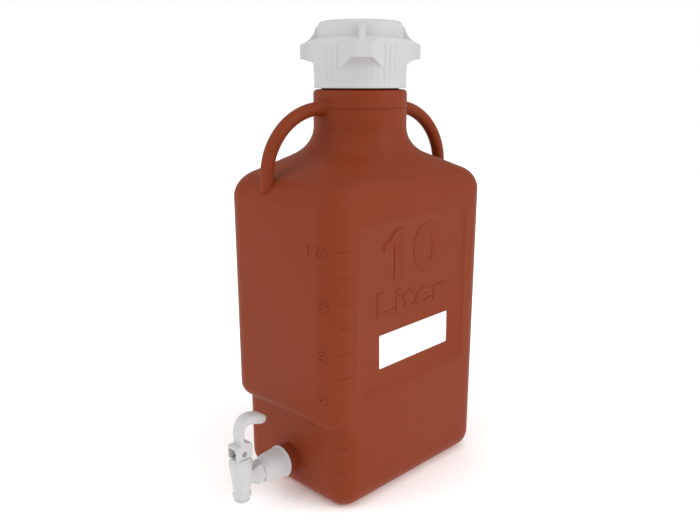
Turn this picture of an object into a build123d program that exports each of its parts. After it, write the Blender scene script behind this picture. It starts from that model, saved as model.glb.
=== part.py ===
from build123d import *

import math
import os

# Ten litre rectangular carboy with a screw cap and a lever spigot. Millimetres.
# Origin: centre of the flat base, on the surface it stands on. +Z is up the neck,
# -Y is the spigot side, +X is the side with the label panel.

# ---------------------------------------------------------------- bottle
body_width = 166.0
body_depth = 244.0
corner_radius = 24.5
base_radius = 21.0
draft_angle = 0.18
wall = 2.5

shoulder_start_z = 319.5
shoulder_radius = 28.3
shoulder_slope = 25.2
shoulder_lead = 8.0
shoulder_steps = 6
roundness_limit = 0.003

neck_radius = 50.1
neck_root_radius = 32.9
neck_line_z = 411.0
neck_line_width = 0.7
neck_line_depth = 0.5
neck_top_z = 431.0
neck_top_round = 4.5
finish_radius = 41.2
finish_bore_radius = 36.6
finish_top_z = 478.0
finish_inner_slope = 8.0
bead_radius = 43.0
bead_height = 3.0
bead_gap = 2.6

recess_depth = 13.9
ledge_foot_z = 92.0
ledge_radius = 17.0
ledge_turn = 60.0

panel_width = 169.0
panel_height = 172.4
panel_centre_z = 215.8
panel_corner = 8.0
panel_depth = 1.0

label_width = 112.0
label_height = 36.5
label_corner = 1.5
label_thickness = 0.25
label_centre_y = 1.0
label_centre_z = 168.5
label_tilt = 1.2

handle_bar = 14.0
handle_arc_radius = 67.4
handle_centre_radius = 50.2
handle_centre_z = 344.0
handle_turn = 8.5
handle_lean = 1.0
handle_foot = 16.0
handle_root = 2.0

# ---------------------------------------------------------------- spigot boss and collar
spigot_z = 38.8
boss_radius = 16.4
boss_length = 13.4
boss_neck_radius = 13.2
boss_neck_length = 17.4
boss_bore_radius = 10.6
boss_root = 1.5

collar_gap = 0.4
collar_rim_radius = 17.4
collar_rim_width = 2.2
collar_foot_radius = 16.6
collar_knee_radius = 15.4
collar_tip_radius = 12.4
collar_cone_length = 11.9
collar_end_wall = 4.5
collar_nut_radius = 10.2
thread_clearance = 0.35

gasket_thickness = 1.6
washer_radius = 11.2
washer_thickness = 1.1

shank_radius = 6.5
shank_bore_radius = 4.2
shank_hole_clearance = 0.25
shank_tail = 6.0
hex_radius = 12.4
hex_thickness = 5.4
nut_radius = 9.6
nut_thickness = 5.5

# ---------------------------------------------------------------- valve
valve_offset = 22.4
outlet_z = 15.0
outlet_bore_radius = 4.4
barb_radius = 8.3
barb_height = 3.2
barb_round = 1.1
groove_radius = 7.4
groove_height = 2.2
flange_radius = 9.8
flange_height = 4.6
flange_taper = 2.0
valve_foot_radius = 8.8
valve_mid_radius = 11.0
valve_mid_height = 18.5
valve_top_radius = 12.3
valve_height = 43.0
valve_wall = 1.9
seat_height = 13.4
seat_depth = 2.6

bonnet_rim = 3.2
bonnet_rise = 3.0
bonnet_flat_radius = 9.2
bonnet_plug = 3.0
bonnet_round = 0.8
bonnet_clearance = 0.15
stem_radius = 2.6
stem_clearance = 0.15
stem_bulb_radius = 3.6
stem_bulb_height = 3.4
stem_eye_radius = 4.2
stem_eye_clearance = 0.2

cup_clearance = 0.1
cup_wall = 1.2
cup_plug_height = 5.0
cup_flange_height = 2.0

# ---------------------------------------------------------------- lever
pin_rise = 5.7
pin_radius = 2.8
pin_clearance = 0.05
pin_sink = 0.9
hub_width = 15.4
hub_length = 20.2
hub_cheek = 1.9
hub_back = 2.0
hub_roof = 2.8
hub_rise = 9.3
hub_corner = 2.2
strap_offset = 1.15
strap_width = 14.0
strap_thickness = 5.1
strap_rise = 25.7
strap_reach = 31.0
pad_width = 16.5
pad_thickness = 9.6

# ---------------------------------------------------------------- cap
cap_gap = 0.7
cap_band_height = 5.0
cap_band_radius = 49.2
cap_skirt_radius = 48.5
cap_skirt_taper = 2.4
cap_shoulder_rise = 1.0
cap_shoulder_round = 1.0
crown_foot_rise = 2.8
crown_height = 16.3
crown_radius = 45.0
crown_top_radius = 44.4
crown_round = 3.6
crown_wall = 3.4
cap_bore_clearance = 1.5
seat_cover = 3.5
liner_thickness = 1.8
liner_width = 5.0
liner_clearance = 0.05

rib_count = 40
rib_radius = 1.2
rib_foot_gap = 0.8
rib_top_drop = 4.2

lug_count = 4
lug_turn = 46.0
lug_radius = 63.5
lug_face = 20.6
lug_root = 35.0
lug_root_depth = 2.5
lug_waist = 2.2
lug_top_drop = 4.0
lug_height = 15.2
lug_root_height = 19.6
lug_top_round = 3.6
lug_bottom_round = 5.0
lug_pocket_wall = 3.0
lug_pocket_top = 3.2
fin_width = 6.6
fin_top_drop = 5.2
fin_top_reach = 3.0
fin_reach = 57.7
fin_end_height = 2.0

rocker_gap = 0.3


def sin(angle):
    """Sine of an angle in degrees."""
    return math.sin(math.radians(angle))


def cos(angle):
    """Cosine of an angle in degrees."""
    return math.cos(math.radians(angle))


def tan(angle):
    """Tangent of an angle in degrees."""
    return math.tan(math.radians(angle))


def turned(profile):
    """Solid made by turning a radius-height profile about the Z axis."""
    return revolve(profile, Axis.Z)


def outline(*points):
    """Closed face in the XZ plane through (radius, height) points."""
    return make_face(Plane.XZ * Polyline(*points, close=True))


def ring(outer, inner, low, high):
    """Plain ring about Z between two heights."""
    return turned(outline((inner, low), (outer, low), (outer, high), (inner, high)))


def disc(radius, low, high):
    """Plain disc about Z between two heights."""
    return Pos(0, 0, low) * Cylinder(radius, high - low, align=(Align.CENTER, Align.CENTER, Align.MIN))


# ---------------------------------------------------------------- bottle forms
def draft_at(height):
    """How far the walls stand in from their widest at a height, because of the draft."""
    return max(shoulder_start_z - height, 0.0) * tan(draft_angle)


def wall_section(height, inset, front_step=0.0):
    """Horizontal section of the body at a height, its front moved back by front_step."""
    shrink = inset + draft_at(height)
    half_width = body_width / 2 - shrink
    back = body_depth / 2 - shrink
    front = back - front_step
    centre = Plane((0, (back - front) / 2, height))
    return centre * RectangleRounded(2 * half_width, front + back, corner_radius - shrink)


def lower_form(inset):
    """Body from the base to the shoulder, with the spigot recess over its foot."""
    turn = ledge_turn
    slope_run = (recess_depth - ledge_radius * (1 - cos(turn))) / sin(turn)
    arc_z = ledge_foot_z + slope_run * cos(turn) + ledge_radius * sin(turn)
    radius = ledge_radius - inset
    arc_step = radius * (1 - cos(turn))
    arc_foot_z = arc_z - radius * sin(turn)
    foot_z = arc_foot_z - (recess_depth - arc_step) / tan(turn)
    foot = wall_section(foot_z, inset, recess_depth)
    base = loft([wall_section(inset, inset, recess_depth), foot], ruled=True)
    base = fillet(base.faces().sort_by(Axis.Z)[0].edges(), base_radius - inset)
    slope = loft([foot, wall_section(arc_foot_z, inset, arc_step)], ruled=True)
    steps = 5
    angles = [turn * (1 - step / steps) for step in range(steps + 1)]
    arc = [wall_section(arc_z - radius * sin(a), inset, radius * (1 - cos(a))) for a in angles]
    top = [wall_section(arc_z, inset), wall_section(shoulder_start_z - shoulder_lead, inset)]
    return base + slope + loft(arc) + loft(top, ruled=True)


def shoulder_section(distance, height, inset):
    """Section of the shoulder whose front lies at a distance from the axis."""
    reach = body_depth / 2 - neck_radius
    share = max((distance - neck_radius + inset) / reach, roundness_limit)
    radius = neck_radius - inset + share * (corner_radius - neck_radius)
    half_width = share * (body_width / 2 - corner_radius) + radius
    half_depth = share * (body_depth / 2 - corner_radius) + radius
    return Plane((0, 0, height)) * RectangleRounded(2 * half_width, 2 * half_depth, radius)


def neck_root_z():
    """Height at which the neck's root curve becomes upright."""
    slope = shoulder_slope
    knee_r = body_depth / 2 - shoulder_radius * (1 - sin(slope))
    knee_z = shoulder_start_z + shoulder_radius * cos(slope)
    root_r = neck_radius + neck_root_radius * (1 - sin(slope))
    return knee_z + (knee_r - root_r) * tan(slope) + neck_root_radius * cos(slope)


def shoulder_form(inset):
    """Shoulder and lower neck: lofts along a round, a slope, a hollow curve and a straight."""
    bend = 90 - shoulder_slope
    angles = [bend * step / shoulder_steps for step in range(shoulder_steps + 1)]
    round_centre = body_depth / 2 - shoulder_radius
    round_radius = shoulder_radius - inset
    root_centre = neck_radius + neck_root_radius
    root_radius = neck_root_radius + inset
    root_z = neck_root_z()
    start = shoulder_section(body_depth / 2 - inset, shoulder_start_z - shoulder_lead, inset)
    knee = []
    root = []
    for a in angles:
        distance = round_centre + round_radius * cos(a)
        knee.append(shoulder_section(distance, shoulder_start_z + round_radius * sin(a), inset))
        distance = root_centre - root_radius * cos(a)
        root.insert(0, shoulder_section(distance, root_z - root_radius * sin(a), inset))
    end = shoulder_section(neck_radius - inset, neck_line_z, inset)
    pairs = [[start, knee[0]], [knee[-1], root[0]], [root[-1], end]]
    return loft(knee) + loft(root) + [loft(pair, ruled=True) for pair in pairs]


def neck_form():
    """Upper neck with its rounded top, support bead and plain thread finish."""
    seat = neck_top_z
    bead_z = seat + bead_gap
    side = Polyline(
        (0, neck_line_z),
        (neck_radius - neck_line_depth, neck_line_z),
        (neck_radius - neck_line_depth, neck_line_z + neck_line_width),
        (neck_radius, neck_line_z + neck_line_width),
        (neck_radius, seat - neck_top_round),
    )
    crest = JernArc(side @ 1, (0, 1), neck_top_round, 90)
    rest = Polyline(
        crest @ 1,
        (finish_radius, seat),
        (finish_radius, bead_z),
        (bead_radius, bead_z + (bead_radius - finish_radius) / 2),
        (bead_radius, bead_z + bead_height),
        (finish_radius, bead_z + bead_height),
        (finish_radius, finish_top_z),
        (0, finish_top_z),
        (0, neck_line_z),
    )
    return turned(make_face(Plane.XZ * Wire([*side.edges(), *crest.edges(), *rest.edges()])))


def neck_hollow():
    """Inside of the neck: wide below the rounded top, narrow through the finish."""
    wide = neck_radius - wall
    step_z = neck_top_z - wall
    return turned(
        outline(
            (0, neck_line_z),
            (wide, neck_line_z),
            (wide, step_z - finish_inner_slope),
            (finish_bore_radius, step_z),
            (finish_bore_radius, finish_top_z + 1),
            (0, finish_top_z + 1),
        )
    )


def handle(direction):
    """Hoop from the neck to the shoulder's edge, its leg running into the wall."""
    centre = (handle_centre_radius, handle_centre_z)
    hoop = CenterArc(centre, handle_arc_radius, -handle_lean, 90 + handle_lean)
    leg = Line(hoop @ 0 - (hoop % 0) * handle_foot, hoop @ 0)
    root = Line(hoop @ 1, hoop @ 1 + (hoop % 1) * handle_root)
    path = Plane.XZ * Wire([leg, hoop, root])
    section = Plane(origin=path @ 0, z_dir=path % 0) * Circle(handle_bar / 2)
    bar = sweep(section, path=path) + Pos(*(path @ 0)) * Sphere(handle_bar / 2)
    return Rot(0, 0, direction) * bar


def recess_wall_y():
    """Y of the recess's wall at the height of the spigot."""
    return -(body_depth / 2 - draft_at(spigot_z) - recess_depth)


def on_spigot_axis(shape):
    """Puts a shape made about Z on the spigot's axis: its +Z becomes outwards, -Y."""
    return Pos(0, recess_wall_y(), spigot_z) * Rot(90, 0, 0) * shape


def boss_form():
    """Moulded boss on the recess's wall, with a threaded neck for the collar."""
    return turned(
        outline(
            (0, -wall),
            (boss_radius + boss_root, -wall / 2),
            (boss_radius + boss_root, 0),
            (boss_radius, boss_root),
            (boss_radius, boss_length),
            (boss_neck_radius, boss_length),
            (boss_neck_radius, boss_length + boss_neck_length),
            (0, boss_length + boss_neck_length),
        )
    )


def panel_plane(depth):
    """Plane on the drafted +X wall, sunk by depth, with local x along Y and local y up."""
    origin = (body_width / 2 - draft_at(panel_centre_z) - depth, 0, panel_centre_z)
    return Plane(origin=origin, x_dir=(0, 1, 0), z_dir=(cos(draft_angle), 0, -sin(draft_angle)))


def make_body():
    """The blow-moulded bottle, one piece with its handles, neck and spigot boss."""
    skin = lower_form(0) + shoulder_form(0) + neck_form()
    front = 270 - handle_turn
    skin = skin + handle(front) + handle(front + 180) + on_spigot_axis(boss_form())
    hollow = lower_form(wall) + shoulder_form(wall) + neck_hollow()
    bore = disc(boss_bore_radius, -2 * wall, boss_length + boss_neck_length + 1)
    panel = panel_plane(0) * RectangleRounded(panel_width, panel_height, panel_corner)
    return skin - hollow - on_spigot_axis(bore) - extrude(panel, -panel_depth)


def make_label():
    """Thin film stuck on the panel."""
    place = panel_plane(panel_depth) * Pos(label_centre_y, label_centre_z - panel_centre_z)
    film = Rot(0, 0, label_tilt) * RectangleRounded(label_width, label_height, label_corner)
    return extrude(place * film, label_thickness)


# ---------------------------------------------------------------- cap
def cap_base_z():
    """Height of the cap's lower edge."""
    return neck_top_z + cap_gap


def liner_seat_z():
    """Height of the face inside the cap that presses on the liner."""
    return finish_top_z + liner_thickness + 2 * liner_clearance


def cap_seat():
    """Height of the liner's seat above the cap's lower edge; the cap's top follows it."""
    return liner_seat_z() - cap_base_z()


def crown_foot():
    """Height of the crown's foot above the cap's lower edge."""
    return cap_seat() + crown_foot_rise


def cap_height():
    """Height of the whole cap."""
    return crown_foot() + crown_height


def skirt_radius_at(height):
    """Outer radius of the tapered skirt at a height above the cap's lower edge."""
    return cap_skirt_radius + (height - cap_band_height) * tan(cap_skirt_taper)


def shoulder_radius_of_cap():
    """Largest radius of the skirt, where it turns in to the crown."""
    return skirt_radius_at(cap_seat() + cap_shoulder_rise)


def cap_skin():
    """Outside of the cap without ribs or lugs."""
    shoulder_z = cap_seat() + cap_shoulder_rise
    shoulder_r = shoulder_radius_of_cap()
    side = Polyline(
        (0, 0),
        (cap_band_radius, 0),
        (cap_band_radius, cap_band_height),
        (cap_skirt_radius, cap_band_height),
        (shoulder_r, shoulder_z - cap_shoulder_round),
        (shoulder_r - cap_shoulder_round, shoulder_z),
        (crown_radius, crown_foot()),
        (crown_top_radius, cap_height() - crown_round),
    )
    crest = JernArc(side @ 1, (0, 1), crown_round, 90)
    lid = Polyline(crest @ 1, (0, cap_height()), (0, 0))
    return turned(make_face(Plane.XZ * Wire([*side.edges(), *crest.edges(), *lid.edges()])))


def cap_hollow():
    """Inside of the cap: thread bore, liner seat and hollow crown."""
    bore = bead_radius + cap_bore_clearance
    seat = cap_seat()
    crown = finish_radius - seat_cover
    roof = cap_height() - crown_wall
    return turned(outline((0, -1), (bore, -1), (bore, seat), (crown, seat), (crown, roof), (0, roof)))


def lug_top():
    """Height of a lug's outer top edge above the cap's lower edge."""
    return cap_seat() - lug_top_drop


def lug_outline(inset=0.0):
    """Plan of one lug on +X: a flat outer face with hollow sides that run into the skirt."""
    tip = (lug_radius - inset, lug_face / 2 - inset)
    skirt = shoulder_radius_of_cap()
    root = (skirt * cos(lug_root / 2) - lug_root_depth, skirt * sin(lug_root / 2) - inset)
    waist = ((tip[0] + root[0]) / 2, (tip[1] + root[1]) / 2 - lug_waist)
    upper = ThreePointArc(root, waist, tip)
    lower = ThreePointArc((tip[0], -tip[1]), (waist[0], -waist[1]), (root[0], -root[1]))
    face = Line(tip, (tip[0], -tip[1]))
    back = Line((root[0], -root[1]), root)
    return make_face(Wire([upper, face, lower, back]))


def lug_slope():
    """Fall of the lug's top for each millimetre outwards."""
    return (crown_foot() - lug_top()) / (lug_radius - crown_radius)


def lug():
    """One grip lug with its sloped top and underside, and the pocket that opens below."""
    skirt = shoulder_radius_of_cap()
    under_slope = (lug_root_height - lug_height) / (lug_radius - skirt)
    near = crown_radius / 2
    envelope = make_face(
        Plane.XZ
        * Polyline(
            (near, crown_foot() + (crown_radius - near) * lug_slope()),
            (lug_radius, lug_top()),
            (lug_radius, lug_top() - lug_height),
            (near, lug_top() - lug_root_height - (skirt - near) * under_slope),
            close=True,
        )
    )
    top_corner, bottom_corner = envelope.vertices().group_by(Axis.X)[-1].sort_by(Axis.Z, reverse=True)
    envelope = fillet(top_corner, lug_top_round)
    bottom_corner = envelope.vertices().sort_by_distance(bottom_corner)[0]
    envelope = fillet(bottom_corner, lug_bottom_round)
    block = extrude(lug_outline(), cap_height()) & extrude(envelope, lug_radius, both=True)
    pocket = extrude(lug_outline(lug_pocket_wall), lug_top() - lug_pocket_top)
    return block, pocket


def fin():
    """Upright web between the crown and a lug, its edge a hollow curve."""
    top = cap_height() - fin_top_drop
    start = (crown_top_radius + fin_top_reach, top)
    lug_z = crown_foot() - (fin_reach - crown_radius) * lug_slope()
    end = (fin_reach, lug_z + fin_end_height)
    hollow = RadiusArc(start, end, -(fin_reach - crown_top_radius))
    inner = crown_top_radius - crown_wall / 2
    foot = lug_z - fin_end_height
    rest = Polyline(end, (fin_reach, foot), (inner, foot), (inner, top), start)
    profile = make_face(Plane.XZ * Wire([hollow, *rest.edges()]))
    return extrude(profile, fin_width / 2, both=True)


def rib():
    """One upright rib of the skirt on +X."""
    foot = cap_band_height + rib_foot_gap
    bar = disc(rib_radius, 0, cap_seat() - rib_top_drop - foot)
    return Pos(skirt_radius_at(foot), 0, foot) * Rot(0, cap_skirt_taper, 0) * bar


def make_cap():
    """Screw cap: ribbed skirt, raised crown and four lugs with fins."""
    block, pocket = lug()
    lugs = [Rot(0, 0, lug_turn + 360 / lug_count * k) for k in range(lug_count)]
    shell = cap_skin()
    for place in lugs:
        shell = shell + place * block
    for place in lugs:
        shell = shell - (place * pocket - disc(shoulder_radius_of_cap(), -1, cap_height()))
    for place in lugs:
        shell = shell + place * fin()
    ribs = [Rot(0, 0, 360 / rib_count * (k + 0.5)) * rib() for k in range(rib_count)]
    shell = shell + ribs
    return Pos(0, 0, cap_base_z()) * (shell - cap_hollow())


def make_liner():
    """Flat seal ring between the neck's rim and the cap."""
    low = finish_top_z + liner_clearance
    outer = finish_radius
    return ring(outer, outer - liner_width, low, low + liner_thickness)


# ---------------------------------------------------------------- spigot
def collar_inner_end():
    """Distance from the recess wall to the inner face of the collar, over the gasket."""
    return boss_length + boss_neck_length + gasket_thickness


def collar_end():
    """Distance from the recess wall to the collar's outer end."""
    return collar_inner_end() + collar_cone_length


def make_collar():
    """Threaded collar on the boss: a skirt with a rim, a cone and an end wall."""
    start = boss_length + collar_gap
    inner = boss_neck_radius + thread_clearance
    knee = collar_inner_end()
    end = collar_end()
    hole = shank_radius + shank_hole_clearance
    return on_spigot_axis(
        turned(
            outline(
                (inner, start),
                (collar_rim_radius, start),
                (collar_rim_radius, start + collar_rim_width),
                (collar_foot_radius, start + collar_rim_width),
                (collar_knee_radius, knee),
                (collar_tip_radius, end),
                (hole, end),
                (hole, end - collar_end_wall),
                (collar_nut_radius, end - collar_end_wall),
                (collar_nut_radius, knee),
                (inner, knee),
            )
        )
    )


def make_boss_gasket():
    """Soft ring between the boss's neck and the collar."""
    low = boss_length + boss_neck_length
    return on_spigot_axis(ring(boss_neck_radius, boss_bore_radius, low, low + gasket_thickness))


def make_shank_washer():
    """Soft washer between the collar and the valve's hexagon."""
    low = collar_end()
    inner = shank_radius + shank_hole_clearance
    return on_spigot_axis(ring(washer_radius, inner, low, low + washer_thickness))


def hexagon(radius, low, high):
    """Hexagonal prism about Z, radius to its corners."""
    return Pos(0, 0, low) * extrude(RegularPolygon(radius, 6), high - low)


def make_shank_nut():
    """Lock nut on the shank, inside the collar."""
    high = collar_end() - collar_end_wall
    body = hexagon(nut_radius, high - nut_thickness, high)
    return on_spigot_axis(body - disc(shank_radius + thread_clearance / 2, 0, high + 1))


def valve_distance():
    """Distance from the recess wall to the upright axis of the valve."""
    return collar_end() + washer_thickness + valve_offset


def on_valve_axis(shape):
    """Moves a shape made about Z to the upright axis of the valve."""
    return Pos(0, recess_wall_y() - valve_distance(), 0) * shape


def valve_foot_z():
    """Height at which the tapered body starts, above the barb and the flange."""
    return outlet_z + barb_height + groove_height + flange_height + flange_taper


def valve_top_z():
    """Height of the valve body's rim, under the bonnet."""
    return outlet_z + valve_height


def valve_radius_at(height):
    """Outer radius of the tapered body at a height."""
    low = valve_foot_z()
    middle = low + valve_mid_height
    if height < middle:
        share = (height - low) / valve_mid_height
        return valve_foot_radius + (valve_mid_radius - valve_foot_radius) * share
    share = (height - middle) / (valve_top_z() - middle)
    return valve_mid_radius + (valve_top_radius - valve_mid_radius) * share


def chamber_radius_at(height):
    """Inner radius of the valve's chamber at a height."""
    return valve_radius_at(height) - valve_wall


def seat_top_z():
    """Height of the upper edge of the conical seat."""
    return outlet_z + seat_height + seat_depth


def make_valve_body():
    """Upright valve body with its barbed outlet, conical seat, shank and hexagon."""
    barb_z = outlet_z + barb_height
    flange_z = barb_z + groove_height
    foot_z = valve_foot_z()
    top_z = valve_top_z()
    middle_z = foot_z + valve_mid_height
    side = turned(
        outline(
            (0, outlet_z),
            (barb_radius - barb_round, outlet_z),
            (barb_radius, outlet_z + barb_round),
            (barb_radius, barb_z - barb_round / 2),
            (groove_radius, barb_z),
            (groove_radius, flange_z),
            (flange_radius, flange_z + barb_round / 2),
            (flange_radius, flange_z + flange_height),
            (valve_foot_radius, foot_z),
            (valve_mid_radius, middle_z),
            (valve_top_radius, top_z),
            (0, top_z),
        )
    )
    hex_low = collar_end() + washer_thickness
    nose = collar_end() - collar_end_wall - nut_thickness - shank_tail
    nut = hexagon(hex_radius, hex_low, hex_low + hex_thickness)
    shank = disc(shank_radius, nose, valve_distance()) + nut
    seat_z = outlet_z + seat_height
    chamber = turned(
        outline(
            (0, outlet_z - 1),
            (outlet_bore_radius, outlet_z - 1),
            (outlet_bore_radius, seat_z),
            (chamber_radius_at(seat_top_z()), seat_top_z()),
            (chamber_radius_at(middle_z), middle_z),
            (chamber_radius_at(top_z), top_z),
            (chamber_radius_at(top_z), top_z + 1),
            (0, top_z + 1),
        )
    )
    passage = disc(shank_bore_radius, nose - 1, valve_distance())
    return on_valve_axis(side) + on_spigot_axis(shank) - on_valve_axis(chamber) - on_spigot_axis(passage)


def bonnet_top_z():
    """Height of the bonnet's flat top, on which the lever rocks."""
    return valve_top_z() + bonnet_rim + bonnet_rise


def make_bonnet():
    """Screwed top of the valve: a rim, a low cone with a flat top, a plug and the stem's hole."""
    low = valve_top_z()
    rim_z = low + bonnet_rim
    plug = chamber_radius_at(low - bonnet_plug) - bonnet_clearance
    hole = stem_radius + stem_clearance
    body = turned(
        outline(
            (hole, low - bonnet_plug),
            (plug, low - bonnet_plug),
            (plug, low),
            (valve_top_radius, low),
            (valve_top_radius, rim_z - bonnet_round),
            (valve_top_radius - bonnet_round, rim_z),
            (bonnet_flat_radius, bonnet_top_z()),
            (hole, bonnet_top_z()),
        )
    )
    return on_valve_axis(body)


def make_seat_cup():
    """Soft bell that closes the seat and springs the stem back down."""
    seat_z = outlet_z + seat_height + cup_clearance
    top = valve_top_z() - bonnet_plug
    rim = chamber_radius_at(top - cup_flange_height) - cup_clearance
    plug_r = chamber_radius_at(seat_top_z()) - cup_clearance - valve_wall / 4
    plug_top = seat_top_z() + cup_plug_height
    bulb = stem_bulb_radius
    low = outlet_bore_radius - cup_clearance
    waist = stem_radius + cup_wall + stem_clearance
    flange_z = top - cup_flange_height
    slope_z = flange_z - (rim - waist)
    profile = outline(
        (0, seat_z),
        (low, seat_z),
        (plug_r, seat_top_z()),
        (plug_r, plug_top),
        (waist, plug_top + cup_wall),
        (waist, slope_z),
        (rim, flange_z),
        (rim, top),
        (rim - 2 * cup_wall, top),
        (waist - cup_wall, slope_z + cup_wall / 2),
        (waist - cup_wall, plug_top),
        (bulb, plug_top - cup_wall),
        (bulb, plug_top - cup_wall - stem_bulb_height),
        (0, plug_top - cup_wall - stem_bulb_height),
    )
    return on_valve_axis(turned(profile))


def pin_z():
    """Height of the lever's pin at rest."""
    return bonnet_top_z() + pin_rise


def make_stem():
    """Valve stem: bulb in the seat cup, rod through the bonnet, eye for the pin."""
    bulb_top = seat_top_z() + cup_plug_height - cup_wall
    bulb_low = bulb_top - stem_bulb_height
    rod = turned(
        outline(
            (0, bulb_low),
            (stem_bulb_radius, bulb_low),
            (stem_bulb_radius, bulb_top),
            (stem_radius, bulb_top + cup_wall),
            (stem_radius, pin_z()),
            (0, pin_z()),
        )
    )
    eye_width = hub_width - 2 * hub_cheek - 2 * stem_eye_clearance
    eye = Pos(0, 0, pin_z()) * Rot(0, 90, 0) * Cylinder(stem_eye_radius, eye_width)
    hole = Pos(0, 0, pin_z()) * Rot(0, 90, 0) * Cylinder(pin_radius, eye_width + 1)
    return on_valve_axis(rod + eye - hole)


def make_pin():
    """Pin through the stem's eye; the lever rocks on its ends."""
    length = hub_width - 2 * pin_sink
    return on_valve_axis(Pos(0, 0, pin_z()) * Rot(0, 90, 0) * Cylinder(pin_radius, length))


def hub_form():
    """Open box of the lever: two cheeks round the eye, a back wall and a front roof."""
    half = hub_length / 2
    sole = rocker_gap - pin_rise
    corners = ((-half, sole), (half, sole), (half, hub_rise), (-half, hub_rise))
    side = make_face(Plane.YZ * Polyline(*corners, close=True))
    side = fillet(side.vertices().group_by(Axis.Z)[0], hub_corner)
    block = extrude(side, hub_width / 2, both=True)
    inner = hub_width - 2 * hub_cheek
    back = half - hub_back
    roof_end = strap_thickness / 2 - strap_offset
    ceiling = hub_rise - hub_roof
    low_room = Plane.YZ * Rectangle(back + half + 1, ceiling + half, align=Align.MIN)
    high_room = Plane.YZ * Rectangle(back - roof_end, 2 * hub_rise + half, align=Align.MIN)
    low_room = Pos(0, -half - 1, -half) * extrude(low_room, inner / 2, both=True)
    high_room = Pos(0, roof_end, -half) * extrude(high_room, inner / 2, both=True)
    hole = Rot(0, 90, 0) * Cylinder(pin_radius + pin_clearance, hub_width + 2)
    return block - low_room - high_room - hole


def strap_section(across, up, lean, size, softness):
    """Rounded section of the lever's strap, placed by shares of its reach and rise.

    lean is its tilt from upright in degrees, size its width and thickness.
    """
    base = hub_rise - hub_roof / 2
    origin = (0, across * strap_reach, base + up * strap_rise)
    plane = Plane(origin=origin, x_dir=(1, 0, 0), z_dir=(0, sin(lean), cos(lean)))
    return plane * RectangleRounded(*size, softness * size[1])


def strap_form():
    """Curved strap that rises from the hub and bends back into a thumb pad."""
    bar = (strap_width, strap_thickness)
    pad = (pad_width, pad_thickness)
    low = -strap_offset / strap_reach
    neck = tuple((a + b) / 2 for a, b in zip(bar, pad))
    upright = strap_section(low, 0, 0, bar, 0.27)
    waist = strap_section(low, 0.33, 0, bar, 0.27)
    bend = strap_section(-0.03, 0.57, 8, bar, 0.27)
    knee = strap_section(0.035, 0.84, 36, bar, 0.27)
    pad_sections = [
        strap_section(0.19, 0.98, 68, neck, 0.3),
        strap_section(0.4, 1.0, 98, pad, 0.36),
        strap_section(0.63, 0.93, 105, (pad[0], 1.08 * pad[1]), 0.36),
        strap_section(0.82, 0.85, 110, (0.91 * pad[0], 1.04 * pad[1]), 0.36),
        strap_section(0.95, 0.785, 113, (0.73 * pad[0], 0.75 * pad[1]), 0.36),
        strap_section(1.0, 0.76, 114, (0.48 * pad[0], 0.42 * pad[1]), 0.36),
    ]
    return loft([upright, waist, bend, knee]) + loft([knee, *pad_sections])


def make_lever():
    """Lever in one piece: the rocker hub and the bent strap."""
    return on_valve_axis(Pos(0, 0, pin_z()) * (hub_form() + strap_form()))


parts = {
    "carboy_body": make_body(),
    "label": make_label(),
    "cap": make_cap(),
    "cap_liner": make_liner(),
    "boss_gasket": make_boss_gasket(),
    "spigot_collar": make_collar(),
    "shank_washer": make_shank_washer(),
    "shank_nut": make_shank_nut(),
    "valve_body": make_valve_body(),
    "bonnet": make_bonnet(),
    "seat_cup": make_seat_cup(),
    "stem": make_stem(),
    "lever_pin": make_pin(),
    "lever": make_lever(),
}

os.makedirs("parts", exist_ok=True)
for name, part in parts.items():
    export_step(part, f"parts/{name}.step")
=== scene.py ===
"""Carboy with spigot: the visual model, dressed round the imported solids."""

import logging
import math
from contextlib import contextmanager
from dataclasses import dataclass, field
from enum import Enum
from typing import Any, Callable, Iterator, Sequence

import bmesh
import bpy
import numpy as np
from mathutils import Matrix, Vector


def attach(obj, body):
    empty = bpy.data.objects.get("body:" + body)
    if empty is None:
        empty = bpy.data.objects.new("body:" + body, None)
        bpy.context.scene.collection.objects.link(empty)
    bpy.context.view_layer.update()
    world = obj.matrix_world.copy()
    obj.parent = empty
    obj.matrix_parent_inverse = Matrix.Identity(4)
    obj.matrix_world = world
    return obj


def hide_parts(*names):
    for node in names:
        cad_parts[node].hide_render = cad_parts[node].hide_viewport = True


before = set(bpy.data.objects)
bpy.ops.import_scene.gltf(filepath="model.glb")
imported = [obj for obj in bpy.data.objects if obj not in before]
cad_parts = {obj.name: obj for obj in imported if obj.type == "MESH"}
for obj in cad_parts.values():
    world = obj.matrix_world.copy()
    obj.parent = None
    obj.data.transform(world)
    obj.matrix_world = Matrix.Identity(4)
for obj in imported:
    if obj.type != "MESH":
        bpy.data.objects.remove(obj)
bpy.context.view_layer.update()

MM = 0.001
SAME_POINT = 1e-7  # metres between points that count as one
CLOUD_SPREAD = 2.2  # size of the colour's clouds against that of the ripples
# Angles in degrees from which an edge stays sharp.
BOOLEAN_EDGE = 38.0
BAR_EDGE = 60.0
NO_EDGE = 180.0
LOG = logging.getLogger("carboy")


class Body(str, Enum):
    """Moving bodies of the frame that the new pieces ride on."""

    BOTTLE = "bottle"
    CAP = "cap"
    LEVER = "lever"


class Slot(str, Enum):
    """Material slots of the record; SoftenedSolid keeps one, but no piece is given it."""

    HDPE = "amber_hdpe"
    POLYPROPYLENE = "white_pp"


# ---------------------------------------------------------------- helpers
def linear(colour: str) -> tuple[float, float, float, float]:
    """Turns an sRGB hex colour into linear RGBA.

    Args:
        colour: Hex colour such as "#8E432D".

    Returns:
        Linear red, green, blue and an alpha of one.
    """
    parts = [int(colour[i : i + 2], 16) / 255 for i in (1, 3, 5)]
    red, green, blue = [c / 12.92 if c <= 0.04045 else ((c + 0.055) / 1.055) ** 2.4 for c in parts]
    return red, green, blue, 1.0


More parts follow.
